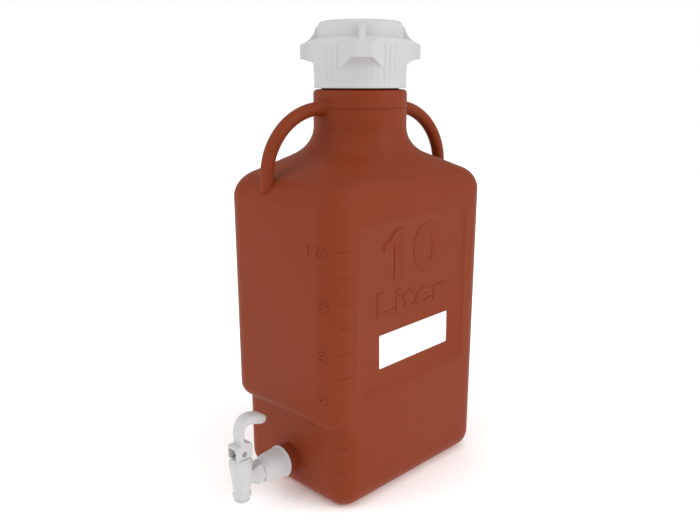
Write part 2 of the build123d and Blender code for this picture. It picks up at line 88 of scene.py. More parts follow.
def add_node(
    tree: bpy.types.NodeTree, kind: str, inputs: dict[Any, Any] | None = None, **settings: Any
) -> bpy.types.Node:
    """Adds a node with its settings, values and links.

    Args:
        tree: Tree that gets the node.
        kind: Blender's type name of the node.
        inputs: Sockets by name or index, each with a value or the output socket that feeds it.
        settings: Attributes of the node.

    Returns:
        The new node.
    """
    node = tree.nodes.new(kind)
    for name, value in settings.items():
        setattr(node, name, value)
    for name, value in (inputs or {}).items():
        if isinstance(value, bpy.types.NodeSocket):
            tree.links.new(value, node.inputs[name])
        else:
            node.inputs[name].default_value = value
    return node


def emptied(owner: bpy.types.Material | bpy.types.World) -> bpy.types.NodeTree:
    """Turns on the nodes of a material or a world and empties its tree."""
    owner.use_nodes = True
    owner.node_tree.nodes.clear()
    return owner.node_tree


def linked(name: str, data: Any) -> bpy.types.Object:
    """Makes an object of a mesh, curve, lamp or camera and puts it in the scene."""
    piece = bpy.data.objects.new(name, data)
    bpy.context.collection.objects.link(piece)
    return piece


@contextmanager
def opened(mesh: bpy.types.Mesh) -> Iterator[bmesh.types.BMesh]:
    """Opens a mesh for editing and writes it back at the end."""
    grid = bmesh.new()
    grid.from_mesh(mesh)
    yield grid
    grid.to_mesh(mesh)
    grid.free()


def new_mesh(name: str, points: np.ndarray, faces: Sequence[Sequence[int]]) -> bpy.types.Object:
    """Makes a mesh object from points in millimetres.

    Args:
        name: Name of the piece.
        points: Rows of x, y, z.
        faces: Corner indices of each face.

    Returns:
        The linked object, at the origin.
    """
    mesh = bpy.data.meshes.new(name)
    mesh.from_pydata((np.asarray(points) * MM).tolist(), [], faces)
    mesh.validate()
    return linked(name, mesh)


def recalculate(piece: bpy.types.Object) -> None:
    """Points every face of a closed mesh outwards."""
    with opened(piece.data) as grid:
        bmesh.ops.recalc_face_normals(grid, faces=grid.faces)


def baked(piece: bpy.types.Object) -> None:
    """Turns a piece and its modifiers into a plain mesh."""
    graph = bpy.context.evaluated_depsgraph_get()
    mesh = bpy.data.meshes.new_from_object(piece.evaluated_get(graph))
    piece.modifiers.clear()
    piece.data = mesh


def joined(name: str, pieces: Sequence[bpy.types.Object]) -> bpy.types.Object:
    """Joins plain meshes into one new object and removes the old ones.

    Args:
        name: Name of the new piece.
        pieces: Mesh objects at the origin.

    Returns:
        The joined object.
    """
    mesh = bpy.data.meshes.new(name)
    with opened(mesh) as grid:
        for piece in pieces:
            grid.from_mesh(piece.data)
            bpy.data.objects.remove(piece)
    return linked(name, mesh)


def shade(piece: bpy.types.Object, sharp: float) -> None:
    """Shades a mesh smooth, apart from edges over an angle in degrees."""
    for face in piece.data.polygons:
        face.use_smooth = True
    piece.data.set_sharp_from_angle(angle=math.radians(sharp))


def place(piece: bpy.types.Object, body: Body, material: bpy.types.Material) -> None:
    """Gives a new piece its body and its finish."""
    piece.data.materials.clear()
    piece.data.materials.append(material)
    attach(piece, body.value)
    LOG.info("%s rides on %s, %d faces", piece.name, body.value, len(piece.data.polygons))


def full_turn(steps: int) -> np.ndarray:
    """Returns equal angles round one whole turn."""
    return np.linspace(0, 2 * math.pi, steps, endpoint=False)


def level_ring(radius: float | np.ndarray, angles: np.ndarray, z: float) -> np.ndarray:
    """Returns a ring about Z; radius is one value, or one for each angle."""
    return np.column_stack((radius * np.cos(angles), radius * np.sin(angles), np.full(len(angles), z)))


def swept_ring(
    rings: Sequence[np.ndarray], closed_ends: bool = True
) -> tuple[np.ndarray, list[list[int]]]:
    """Skins a row of rings of equal length.

    Args:
        rings: Each an array of points, in order round the form.
        closed_ends: Whether the first and last ring get a face.

    Returns:
        Points and faces.
    """
    count = len(rings[0])
    faces = []
    for row in range(len(rings) - 1):
        low, high = row * count, (row + 1) * count
        for k in range(count):
            n = (k + 1) % count
            faces.append([low + k, low + n, high + n, high + k])
    if closed_ends:
        faces.append(list(range(count))[::-1])
        last = (len(rings) - 1) * count
        faces.append(list(range(last, last + count)))
    return np.vstack(rings), faces


def turned(name: str, profile: Sequence[tuple[float, float]], steps: int) -> bpy.types.Object:
    """Turns an open profile about Z into a closed form.

    Args:
        name: Name of the piece.
        profile: Radius and height pairs in millimetres, from one end to the other.
        steps: Number of points round the axis.

    Returns:
        The mesh object.
    """
    angles = full_turn(steps)
    return new_mesh(name, *swept_ring([level_ring(radius, angles, z) for radius, z in profile]))


# ---------------------------------------------------------------- finishes
@dataclass(frozen=True)
class MouldedPlastic:
    """Moulded plastic: a base colour that drifts a little, a fine skin and slow ripples."""

    name: str
    base: str
    drift: str
    roughness: float
    skin_mm: float
    skin_depth_mm: float
    ripple_mm: float
    ripple_depth_mm: float
    ior: float = 1.5
    specular: float = 0.3
    gloss_spread: float = 0.05

    def build(self) -> bpy.types.Material:
        """Builds the material.

        Returns:
            The node material.
        """
        material = bpy.data.materials.new(self.name)
        tree = emptied(material)
        place_of = add_node(tree, "ShaderNodeTexCoord").outputs["Object"]
        ripple = self.noise(tree, place_of, self.ripple_mm, 2.0)
        skin = self.noise(tree, place_of, self.skin_mm, 4.0)
        cloud = self.noise(tree, place_of, self.ripple_mm * CLOUD_SPREAD, 3.0)
        colours = {"Factor": cloud, 6: linear(self.base), 7: linear(self.drift)}
        colour = add_node(tree, "ShaderNodeMix", colours, data_type="RGBA").outputs[2]
        spread = {
            "Value": skin,
            "From Min": 0.3,
            "From Max": 0.7,
            "To Min": self.roughness - self.gloss_spread,
            "To Max": self.roughness + self.gloss_spread,
        }
        gloss = add_node(tree, "ShaderNodeMapRange", spread).outputs["Result"]
        waves = {"Distance": self.ripple_depth_mm * MM, "Height": ripple}
        slow = add_node(tree, "ShaderNodeBump", waves).outputs["Normal"]
        grain = {"Distance": self.skin_depth_mm * MM, "Height": skin, "Normal": slow}
        fine = add_node(tree, "ShaderNodeBump", grain).outputs["Normal"]
        looks = {
            "Base Color": colour,
            "Roughness": gloss,
            "IOR": self.ior,
            "Specular IOR Level": self.specular,
            "Normal": fine,
        }
        shader = add_node(tree, "ShaderNodeBsdfPrincipled", looks)
        add_node(tree, "ShaderNodeOutputMaterial", {"Surface": shader.outputs["BSDF"]})
        return material

    @staticmethod
    def noise(
        tree: bpy.types.NodeTree, place_of: bpy.types.NodeSocket, size_mm: float, detail: float
    ) -> bpy.types.NodeSocket:
        """Adds a noise whose features are size_mm across and returns its value."""
        values = {"Vector": place_of, "Scale": 1 / (size_mm * MM), "Detail": detail}
        return add_node(tree, "ShaderNodeTexNoise", values).outputs["Fac"]


# Blow-moulded high density polyethylene with an opaque red-brown pigment: waxy, satin, with the
# faint waves of a wall that cooled against the mould.
HDPE = MouldedPlastic(
    "blow_moulded_hdpe", "#83381C", "#7E341A", 0.5, 1.6, 0.02, 42.0, 0.2, ior=1.53, specular=0.1
)
# Injection-moulded polypropylene, filled white: a little glossier, with a finer spark-eroded skin.
POLYPROPYLENE = MouldedPlastic(
    "moulded_polypropylene", "#C8C8C8", "#C3C2C3", 0.42, 0.9, 0.01, 18.0, 0.04, ior=1.49
)
# The same plastic in grey for the lever's pin, deep in its hole: painted shade for the dark hole.
PIN_PAINTED_SHADE = MouldedPlastic(
    "pin_painted_shade", "#8F8D8E", "#888687", 0.45, 0.9, 0.01, 9.0, 0.02, ior=1.49
)
# Cast silicone rubber: milky grey and slightly soft in its sheen.
SILICONE = MouldedPlastic("cast_silicone", "#BDBBB7", "#B4B2AE", 0.5, 0.7, 0.01, 9.0, 0.02, ior=1.43)
# Matt laminated vinyl film of the label: nearly white, almost flat.
FILM = MouldedPlastic("laminated_vinyl", "#F1F1F0", "#EEEEED", 0.4, 2.5, 0.004, 30.0, 0.03)
# Closed-cell polyethylene foam of the liner: matt, with fine cells.
FOAM = MouldedPlastic("polyethylene_foam", "#E4E2DD", "#DAD8D2", 0.8, 0.8, 0.05, 12.0, 0.05)


# ---------------------------------------------------------------- bottle
@dataclass
class Bottle:
    """Blow-moulded bottle with its handles, neck, recess and spigot boss, in millimetres."""

    material: bpy.types.Material
    width: float = 166.0
    depth: float = 244.0
    corner: float = 24.5
    base_round: float = 21.0
    draft: float = 0.18
    wall: float = 2.5
    shoulder_z: float = 319.5
    shoulder_round: float = 28.3
    shoulder_slope: float = 25.2
    neck: float = 50.1
    neck_root: float = 32.9
    line_z: float = 411.0
    line_width: float = 0.9
    line_depth: float = 0.5
    line_slope: tuple[float, float] = (0.15, 0.1)
    neck_top: float = 430.4
    neck_top_round: float = 4.5
    neck_straight: float = 4.0
    rim_round: float = 0.8
    finish: float = 41.2
    finish_bore: float = 36.6
    finish_top: float = 478.0
    bead: float = 43.0
    bead_z: float = 433.6
    bead_height: float = 3.0
    bead_round: float = 0.3
    inner_cone: float = 8.0
    recess: float = 13.9
    ledge_foot: float = 91.5
    ledge_round: float = 17.0
    ledge_turn: float = 60.0
    ledge_softness: float = 2.5
    panel_z: float = 215.8
    panel_width: float = 169.0
    panel_height: float = 172.4
    panel_corner: float = 8.0
    panel_depth: float = 1.0
    panel_slope: float = 1.8
    panel_clear: float = 6.0
    handle_bar: float = 7.0
    handle_arc: float = 67.4
    handle_centre: float = 50.2
    handle_z: float = 344.0
    handle_turn: float = 8.5
    handle_lean: float = 1.0
    handle_foot: float = 11.5
    handle_root: float = 4.5
    handle_root_reach: float = 7.0
    handle_swell: float = 0.8
    handle_swell_reach: float = 9.0
    handle_tip: float = 3.2
    boss: float = 16.4
    boss_length: float = 13.4
    boss_root: float = 1.3
    boss_sunk: float = 1.6
    boss_edge: float = 0.7
    boss_neck: float = 13.2
    boss_neck_length: float = 17.4
    boss_neck_edge: float = 0.5
    boss_bore: float = 10.6
    bore_inwards: float = 12.0
    bore_outwards: float = 4.0
    spigot_z: float = 38.8
    wall_rows: tuple[tuple[float, float, float], ...] = (
        (26.0, 84.0, 12.0),
        (85.0, 116.0, 1.0),
        (118.0, 312.0, 15.0),
    )
    angles: np.ndarray = field(default_factory=lambda: np.zeros(0))

    def __post_init__(self) -> None:
        """Spreads the points round the form, closer together at the corners."""
        quarter = [*np.arange(0, 42, 3.0), *np.arange(42, 70, 1.0), *np.arange(70, 90, 2.5)]
        flipped = [180 - a for a in reversed(quarter[1:])]
        half = [*quarter, 90.0, *flipped]
        self.angles = np.radians([*half, *[a + 180 for a in half]])

    def draft_at(self, z: float) -> float:
        """Returns how far the wall stands in at a height because of the draft."""
        return max(self.shoulder_z - z, 0.0) * math.tan(math.radians(self.draft))

    def step_at(self, z: float) -> float:
        """Returns how far the front wall stands back at a height, softened at both bends."""
        turn = math.radians(self.ledge_turn)
        arc_step = self.ledge_round * (1 - math.cos(turn))
        run = (self.recess - arc_step) / math.sin(turn)
        arc_z = self.ledge_foot + run * math.cos(turn) + self.ledge_round * math.sin(turn)
        spread = np.linspace(-2, 2, 9)
        steps = []
        for height in z + self.ledge_softness * spread:
            if height < self.ledge_foot:
                steps.append(self.recess)
            elif height < arc_z - self.ledge_round * math.sin(turn):
                steps.append(self.recess - (height - self.ledge_foot) * math.tan(turn))
            elif height < arc_z:
                angle = math.asin((arc_z - height) / self.ledge_round)
                steps.append(self.ledge_round * (1 - math.cos(angle)))
            else:
                steps.append(0.0)
        return float(np.average(steps, weights=np.exp(-0.5 * spread**2)))

    def section(self, half_x: float, front: float, back: float, corner: float, z: float) -> np.ndarray:
        """Cuts a rounded rectangle along the rays from the axis.

        Args:
            half_x: Half the width.
            front: Distance from the axis to the front, -Y.
            back: Distance from the axis to the back, +Y.
            corner: Corner radius.
            z: Height.

        Returns:
            One point for each ray.
        """
        corner = min(corner, half_x - 0.001, front - 0.001, back - 0.001)
        rows = []
        for angle in self.angles:
            c, s = math.cos(angle), math.sin(angle)
            reach_y = back if s > 0 else front
            side_x = half_x / max(abs(c), 1e-9)
            side_y = reach_y / max(abs(s), 1e-9)
            distance = min(side_x, side_y)
            x, y = abs(distance * c), abs(distance * s)
            centre = (half_x - corner, reach_y - corner)
            if x > centre[0] and y > centre[1]:
                along = abs(c) * centre[0] + abs(s) * centre[1]
                distance = along + math.sqrt(max(along**2 - centre[0] ** 2 - centre[1] ** 2 + corner**2, 0))
            rows.append((distance * c, distance * s, z))
        return np.array(rows)

    def wall_ring(self, z: float, inset: float, tuck: float = 0.0) -> np.ndarray:
        """Returns the ring of the wall at a height; tuck is what the base's round takes away."""
        shrink = inset + tuck + self.draft_at(z)
        back = self.depth / 2 - shrink
        return self.section(
            self.width / 2 - shrink, back - self.step_at(z), back, max(self.corner - shrink, 0.3), z
        )

    def shoulder_ring(self, distance: float, z: float, inset: float) -> np.ndarray:
        """Returns the ring of the shoulder whose front lies at a distance from the axis."""
        share = max((distance - self.neck + inset) / (self.depth / 2 - self.neck), 0.0)
        radius = self.neck - inset + share * (self.corner - self.neck)
        half_x = share * (self.width / 2 - self.corner) + radius
        half_y = share * (self.depth / 2 - self.corner) + radius
        return self.section(half_x, half_y, half_y, radius, z)

    def body_rings(self, inset: float) -> list[np.ndarray]:
        """Rings of the body from the base to the neck's line, moved in by inset."""
        rings = []
        radius = self.base_round - inset
        for share in (0.25, 0.7):
            rings.append(self.wall_ring(inset, inset, radius) * (share, share, 1))
        for t in np.radians(np.linspace(0, 90, 15)):
            height = inset + radius * (1 - math.cos(t))
            rings.append(self.wall_ring(height, inset, radius * (1 - math.sin(t))))
        for low, high, step in self.wall_rows:
            rings += [self.wall_ring(z, inset) for z in np.arange(low, high, step)]
        bend = 90 - self.shoulder_slope
        knee_r = self.shoulder_round - inset
        root_r = self.neck_root + inset
        slope = math.radians(self.shoulder_slope)
        knee_end = self.depth / 2 - self.shoulder_round * (1 - math.sin(slope))
        knee_z = self.shoulder_z + self.shoulder_round * math.cos(slope)
        root_start = self.neck + self.neck_root * (1 - math.sin(slope))
        root_z = knee_z + (knee_end - root_start) * math.tan(slope) + self.neck_root * math.cos(slope)
        for a in np.radians(np.linspace(0, bend, 15)):
            distance = self.depth / 2 - self.shoulder_round + knee_r * math.cos(a)
            rings.append(self.shoulder_ring(distance, self.shoulder_z + knee_r * math.sin(a), inset))
        roots = []
        for a in np.radians(np.linspace(bend, 0, 18)):
            distance = self.neck + self.neck_root - root_r * math.cos(a)
            roots.append(self.shoulder_ring(distance, root_z - root_r * math.sin(a), inset))
        low, high = rings[-1], roots[0]
        rings += [low + (high - low) * share for share in (0.25, 0.5, 0.75)]
        return rings + roots

    def neck_rings(self) -> list[np.ndarray]:
        """Rings of the neck and its thread finish, over the rim and down the inside."""
        line = self.line_z
        outer, inner = self.line_slope
        line_top = line + self.line_width
        rows = [
            (self.neck, line - outer),
            (self.neck - self.line_depth, line + inner),
            (self.neck - self.line_depth, line_top - inner),
            (self.neck, line_top + outer),
            (self.neck, self.neck_top - self.neck_top_round - self.neck_straight),
        ]
        for t in np.radians(np.linspace(0, 90, 8)):
            radius = self.neck - self.neck_top_round * (1 - math.cos(t))
            rows.append((radius, self.neck_top - self.neck_top_round * (1 - math.sin(t))))
        bead_mid = self.bead_z + (self.bead - self.finish) / 2
        bead_top = self.bead_z + self.bead_height
        rows += [
            (self.finish + self.rim_round, self.neck_top),
            (self.finish, self.neck_top + self.rim_round),
            (self.finish, self.bead_z),
            (self.bead - 0.2, bead_mid),
            (self.bead, bead_mid + self.bead_round),
            (self.bead, bead_top - self.bead_round),
            (self.bead - self.bead_round, bead_top),
            (self.finish, bead_top),
            (self.finish, self.finish_top - 1),
            (self.finish - 1, self.finish_top),
            (self.finish_bore + self.rim_round, self.finish_top),
            (self.finish_bore, self.finish_top - self.rim_round),
            (self.finish_bore, self.neck_top - self.wall),
            (self.neck - self.wall, self.neck_top - self.wall - self.inner_cone),
        ]
        return [level_ring(radius, self.angles, z) for radius, z in rows]

    def shell(self) -> bpy.types.Object:
        """Builds the closed wall of the bottle, its outside and inside.

        Returns:
            The mesh object.
        """
        outside = self.body_rings(0.0)
        inside = self.body_rings(self.wall)
        return new_mesh("carboy_shell", *swept_ring(outside + self.neck_rings() + inside[::-1]))

    def handle(self, direction: float) -> bpy.types.Object:
        """Builds one hoop handle, flared where it grows out of the wall.

        Args:
            direction: Angle of its plane about the neck in degrees.

        Returns:
            The mesh object.
        """
        lean = math.radians(self.handle_lean)
        centre = np.array([self.handle_centre, self.handle_z])
        foot = centre + self.handle_arc * np.array([math.cos(lean), -math.sin(lean)])
        down = np.array([-math.sin(lean), -math.cos(lean)])
        path = [foot + down * run for run in np.linspace(self.handle_foot + 2, 1, 12)]
        for a in np.linspace(-lean, math.pi / 2, 44):
            path.append(centre + self.handle_arc * np.array([math.cos(a), math.sin(a)]))
        top = path[-1]
        path = np.array([*path, *[top - np.array([run, 0.0]) for run in (2.0, 4.0, 6.0)]])
        ahead = np.gradient(path, axis=0)
        ahead /= np.linalg.norm(ahead, axis=1)[:, None]
        length = np.concatenate(([0], np.cumsum(np.linalg.norm(np.diff(path, axis=0), axis=1))))
        turn = full_turn(28)
        rings = []
        cos_d, sin_d = math.cos(math.radians(direction)), math.sin(math.radians(direction))
        for point, tangent, run in zip(path, ahead, length):
            from_top = length[-1] - run
            radius = self.handle_bar
            radius += self.handle_root * math.exp(-((from_top / self.handle_root_reach) ** 2))
            radius += self.handle_swell * math.exp(-((run / self.handle_swell_reach) ** 2))
            if run < self.handle_tip:
                radius *= math.sqrt(max(1 - ((self.handle_tip - run) / (self.handle_tip + 0.2)) ** 2, 0.08))
            side = np.array([-tangent[1], tangent[0]])
            plan = point[0] + radius * np.cos(turn) * side[0]
            height = point[1] + radius * np.cos(turn) * side[1]
            across = radius * np.sin(turn)
            x, y = plan * cos_d - across * sin_d, plan * sin_d + across * cos_d
            rings.append(np.column_stack((x, y, height)))
        return new_mesh("handle", *swept_ring(rings))

    def on_recess(self, name: str, profile: Sequence[tuple[float, float]]) -> bpy.types.Object:
        """Turns a profile about the spigot's axis; its heights run out from the recess's wall."""
        piece = turned(name, profile, 96)
        wall_y = -(self.depth / 2 - self.draft_at(self.spigot_z) - self.recess)
        onto_wall = Matrix.Translation(Vector((0, wall_y, self.spigot_z)) * MM)
        piece.data.transform(onto_wall @ Matrix.Rotation(math.pi / 2, 4, "X"))
        return piece

    def boss_form(self) -> bpy.types.Object:
        """Builds the spigot boss with a soft root on the recess's wall."""
        end = self.boss_length + self.boss_neck_length
        root = self.boss_root
        profile = [(self.boss + root, -self.boss_sunk)]
        for t in np.radians(np.linspace(0, 90, 7)):
            profile.append((self.boss + root * (1 - math.sin(t)), root * (1 - math.cos(t))))
        profile += [
            (self.boss, self.boss_length - self.boss_edge),
            (self.boss - self.boss_edge, self.boss_length),
            (self.boss_neck, self.boss_length),
            (self.boss_neck, end - self.boss_neck_edge),
            (self.boss_neck - self.boss_neck_edge, end),
        ]
        return self.on_recess("boss", profile)

    def boss_hole(self) -> bpy.types.Object:
        """Builds the cutter of the bore through the boss."""
        end = self.boss_length + self.boss_neck_length + self.bore_outwards
        return self.on_recess("bore", [(self.boss_bore, -self.bore_inwards), (self.boss_bore, end)])

    def panel_cut(self) -> bpy.types.Object:
        """Builds the cutter of the shallow label panel on the +X wall."""
        corner = self.panel_corner
        half_y, half_z = self.panel_width / 2 - corner, self.panel_height / 2 - corner
        points = []
        for side_y, side_z, start in ((1, 1, 0), (-1, 1, 90), (-1, -1, 180), (1, -1, 270)):
            for a in np.radians(np.linspace(start, start + 90, 9)):
                y, z = side_y * half_y + corner * math.cos(a), side_z * half_z + corner * math.sin(a)
                points.append((y, z))
        floor = self.width / 2 - self.draft_at(self.panel_z) - self.panel_depth
        lean = math.tan(math.radians(self.draft))
        rings = []
        edge = 1.0 + self.panel_slope / (half_y + corner)
        for out, spread in ((0.0, 1.0), (self.panel_depth, edge), (self.panel_clear, edge)):
            ring = [(floor + out + z * lean, y * spread, self.panel_z + z * spread) for y, z in points]
            rings.append(np.array(ring))
        return new_mesh("panel_cut", *swept_ring(rings))

    def build(self) -> bpy.types.Object:
        """Unites shell, handles and boss, cuts bore and panel, and dresses the bottle.

        Returns:
            The bottle's piece.
        """
        bottle = self.shell()
        front = 270 - self.handle_turn
        tools = [
            ("UNION", self.handle(front)),
            ("UNION", self.handle(front + 180)),
            ("UNION", self.boss_form()),
            ("DIFFERENCE", self.boss_hole()),
            ("DIFFERENCE", self.panel_cut()),
        ]
        for operation, tool in tools:
            for one in (bottle, tool):
                recalculate(one)
            cut = bottle.modifiers.new(operation, "BOOLEAN")
            cut.operation = operation
            cut.object = tool
            cut.solver = "EXACT"
            baked(bottle)
            bpy.data.objects.remove(tool)
        bottle.name = "carboy_bottle"
        shade(bottle, BOOLEAN_EDGE)
        place(bottle, Body.BOTTLE, self.material)
        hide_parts("carboy_body")
        return bottle


# ---------------------------------------------------------------- geometry trees
def group_tree(name: str, sizes: Sequence[str]) -> tuple[bpy.types.NodeTree, bpy.types.Node]:
    """Starts a geometry tree.

    Args:
        name: Name of the tree.
        sizes: Names of its number inputs, between the geometry and the material.

    Returns:
        The tree and its input node.
    """
    tree = bpy.data.node_groups.new(name, "GeometryNodeTree")
    face = tree.interface
    face.new_socket("Geometry", in_out="INPUT", socket_type="NodeSocketGeometry")
    for label in sizes:
        face.new_socket(label, in_out="INPUT", socket_type="NodeSocketFloat")
    face.new_socket("Material", in_out="INPUT", socket_type="NodeSocketMaterial")
    face.new_socket("Geometry", in_out="OUTPUT", socket_type="NodeSocketGeometry")
    return tree, add_node(tree, "NodeGroupInput")


def close_tree(
    tree: bpy.types.NodeTree, geometry: bpy.types.NodeSocket, material: bpy.types.NodeSocket
) -> None:
    """Ends a geometry tree: realises its copies, sets their material and hands them on."""
    real = add_node(tree, "GeometryNodeRealizeInstances", {"Geometry": geometry})
    dressed = add_node(tree, "GeometryNodeSetMaterial", {"Geometry": real.outputs[0], "Material": material})
    add_node(tree, "NodeGroupOutput", {0: dressed.outputs[0]})


def round_bar(
    tree: bpy.types.NodeTree, curve: bpy.types.Node, radius: bpy.types.NodeSocket, sides: int
) -> bpy.types.NodeSocket:
    """Adds a closed round bar along a curve."""
    circle = add_node(tree, "GeometryNodeCurvePrimitiveCircle", {"Resolution": sides, "Radius": radius})
    values = {"Curve": curve.outputs[0], "Profile Curve": circle.outputs[0], "Fill Caps": True}
    return add_node(tree, "GeometryNodeCurveToMesh", values).outputs[0]


def grown(piece: bpy.types.Object, tree: bpy.types.NodeTree, values: dict[str, Any]) -> None:
    """Runs a geometry tree on a piece and keeps the result as its mesh.

    Args:
        piece: Object that carries the tree's points.
        tree: The geometry tree.
        values: Value of each named input.
    """
    modifier = piece.modifiers.new(tree.name, "NODES")
    modifier.node_group = tree
    for item in tree.interface.items_tree:
        if item.in_out == "INPUT" and item.name in values:
            modifier[item.identifier] = values[item.name]
    baked(piece)


# ---------------------------------------------------------------- marks on the bottle
@dataclass
class VolumeMarks:
    """Raised volume scale on the front corner and raised volume on the panel, in millimetres."""

    bottle: Bottle
    material: bpy.types.Material
    heights: tuple[float, ...] = (281.9, 256.1, 230.2, 204.4, 178.5, 152.6, 126.8, 97.6, 72.3, 43.8)
    long_marks: tuple[int, ...] = (0, 5)
    lower_marks: tuple[int, ...] = (8, 9)
    mark_round: float = 0.55
    long_start: float = -35.0
    long_sweep: float = 34.0
    short_start: float = -29.2
    short_sweep: float = 21.0
    lower_turn: float = -29.0
    number_half: float = 5.4
    lift: float = 0.7

    def tick_tree(self) -> bpy.types.NodeTree:
        """Builds the tree that sets one bent bar on each mark's point."""
        names = ("Corner", "Bar", "Long Start", "Long Sweep", "Short Start", "Short Sweep")
        tree, given = group_tree("volume_scale", names)
        sizes = given.outputs
        long = self.named(tree, "long")
        short = add_node(tree, "ShaderNodeMath", {0: 1.0, 1: long}, operation="SUBTRACT").outputs[0]
        turn = add_node(tree, "ShaderNodeCombineXYZ", {"Z": self.named(tree, "turn")})
        both = add_node(tree, "GeometryNodeJoinGeometry")
        for kind, chosen in (("Long", long), ("Short", short)):
            bend = {
                "Resolution": 24,
                "Radius": sizes["Corner"],
                "Start Angle": sizes[kind + " Start"],
                "Sweep Angle": sizes[kind + " Sweep"],
            }
            arc = add_node(tree, "GeometryNodeCurveArc", bend)
            copies = {
                "Points": sizes["Geometry"],
                "Selection": chosen,
                "Instance": round_bar(tree, arc, sizes["Bar"], 10),
                "Rotation": turn.outputs[0],
                "Scale": self.named(tree, "reach"),
            }
            bars = add_node(tree, "GeometryNodeInstanceOnPoints", copies)
            tree.links.new(bars.outputs[0], both.inputs[0])
        close_tree(tree, both.outputs[0], sizes["Material"])
        return tree

    @staticmethod
    def named(tree: bpy.types.NodeTree, name: str) -> bpy.types.NodeSocket:
        """Reads a named float of the points."""
        reader = add_node(tree, "GeometryNodeInputNamedAttribute", {"Name": name}, data_type="FLOAT")
        return reader.outputs["Attribute"]

    def ticks(self) -> bpy.types.Object:
        """Builds the scale's bars, bent round the corner.

        Returns:
            The mesh object.
        """
        bottle = self.bottle
        centre_x, centre_y = bottle.width / 2 - bottle.corner, bottle.depth / 2 - bottle.corner
        points = [(centre_x, bottle.step_at(z) - centre_y, z) for z in self.heights]
        piece = new_mesh("scale_marks", np.array(points), [])
        values = {
            "long": [float(k in self.long_marks) for k in range(len(points))],
            "turn": [math.radians(self.lower_turn) * (k in self.lower_marks) for k in range(len(points))],
            "reach": [1 - bottle.draft_at(z) / bottle.corner for z in self.heights],
        }
        for name, row in values.items():
            piece.data.attributes.new(name, "FLOAT", "POINT").data.foreach_set("value", row)
        grown(
            piece,
            self.tick_tree(),
            {
                "Corner": bottle.corner * MM,
                "Bar": self.mark_round * MM,
                "Long Start": math.radians(self.long_start),
                "Long Sweep": math.radians(self.long_sweep),
                "Short Start": math.radians(self.short_start),
                "Short Sweep": math.radians(self.short_sweep),
                "Material": self.material,
            },
        )
        return piece

    def on_corner(self, s: float, z: float, lift: float) -> tuple[float, float, float]:
        """Returns the point over the front wall at a run s past the start of its round corner."""
        bottle = self.bottle
        radius = bottle.corner - bottle.draft_at(z)
        centre_x = bottle.width / 2 - bottle.corner
        centre_y = bottle.step_at(z) - bottle.depth / 2 + bottle.corner
        if s < 0:
            return centre_x + s, centre_y - radius - lift, z
        turn, reach = s / radius, radius + lift
        return centre_x + reach * math.sin(turn), centre_y - reach * math.cos(turn), z

    def on_panel(self, y: float, z: float, lift: float) -> tuple[float, float, float]:
        """Returns the point over the panel's floor."""
        bottle = self.bottle
        return bottle.width / 2 - bottle.draft_at(z) - bottle.panel_depth + lift, y, z

    def raised(
        self,
        name: str,
        curve: bpy.types.Curve,
        box: tuple[float, float, float, float],
        surface: Callable[[float, float, float], tuple[float, float, float]],
    ) -> bpy.types.Object:
        """Lays a flat filled curve on a surface as a raised form with rounded edges.

        Args:
            name: Name of the piece.
            curve: Flat curve or text.
            box: Low and high run, low and high height that it fills.
            surface: Turns run, height and lift into a point.

        Returns:
            The mesh object.
        """
        holder = linked(name, curve)
        graph = bpy.context.evaluated_depsgraph_get()
        mesh = bpy.data.meshes.new_from_object(holder.evaluated_get(graph))
        bpy.data.objects.remove(holder)
        with opened(mesh) as grid:
            bmesh.ops.remove_doubles(grid, verts=grid.verts, dist=1e-5)
            points = np.array([v.co for v in grid.verts])
            low, high = points.min(axis=0), points.max(axis=0)
            for cut in np.linspace(low[0], high[0], 16)[1:-1]:
                parts = [*grid.verts, *grid.edges, *grid.faces]
                bmesh.ops.bisect_plane(
                    grid, geom=parts, plane_co=(cut, 0, 0), plane_no=(1, 0, 0), dist=1e-6
                )
            for vert in grid.verts:
                share = [(vert.co[k] - low[k]) / (high[k] - low[k]) for k in range(3)]
                run = box[0] + share[0] * (box[1] - box[0])
                height = box[2] + share[1] * (box[3] - box[2])
                vert.co = Vector(surface(run, height, (share[2] * 2 - 1) * self.lift)) * MM
            bmesh.ops.recalc_face_normals(grid, faces=grid.faces)
        return linked(name, mesh)

    @staticmethod
    def softened(curve: bpy.types.Curve, weight: float) -> bpy.types.Curve:
        """Gives a flat filled curve its thickness; weight widens it and rounds its edges."""
        curve.extrude = 0.02
        curve.bevel_depth = weight
        curve.bevel_resolution = 2
        return curve

    def text(self, words: str, weight: float) -> bpy.types.Curve:
        """Makes plain words as a filled curve."""
        curve = self.softened(bpy.data.curves.new("words", "FONT"), weight)
        curve.body = words
        curve.resolution_u = 6
        return curve

    def figure_one(self, weight: float) -> bpy.types.Curve:
        """Makes a plain figure one, a stem with a flag, as a filled curve."""
        curve = self.softened(bpy.data.curves.new("one", "CURVE"), weight)
        curve.dimensions = "2D"
        curve.fill_mode = "BOTH"
        stem = ((0.55, 0), (1, 0), (1, 1.8), (0.62, 1.8))
        flag = ((0.35, 1.5), (0, 1.34), (0, 1.08), (0.55, 1.28))
        line = curve.splines.new("POLY")
        line.points.add(len(stem + flag) - 1)
        for point, corner in zip(line.points, stem + flag):
            point.co = (*corner, 0, 1)
        line.use_cyclic_u = True
        return curve

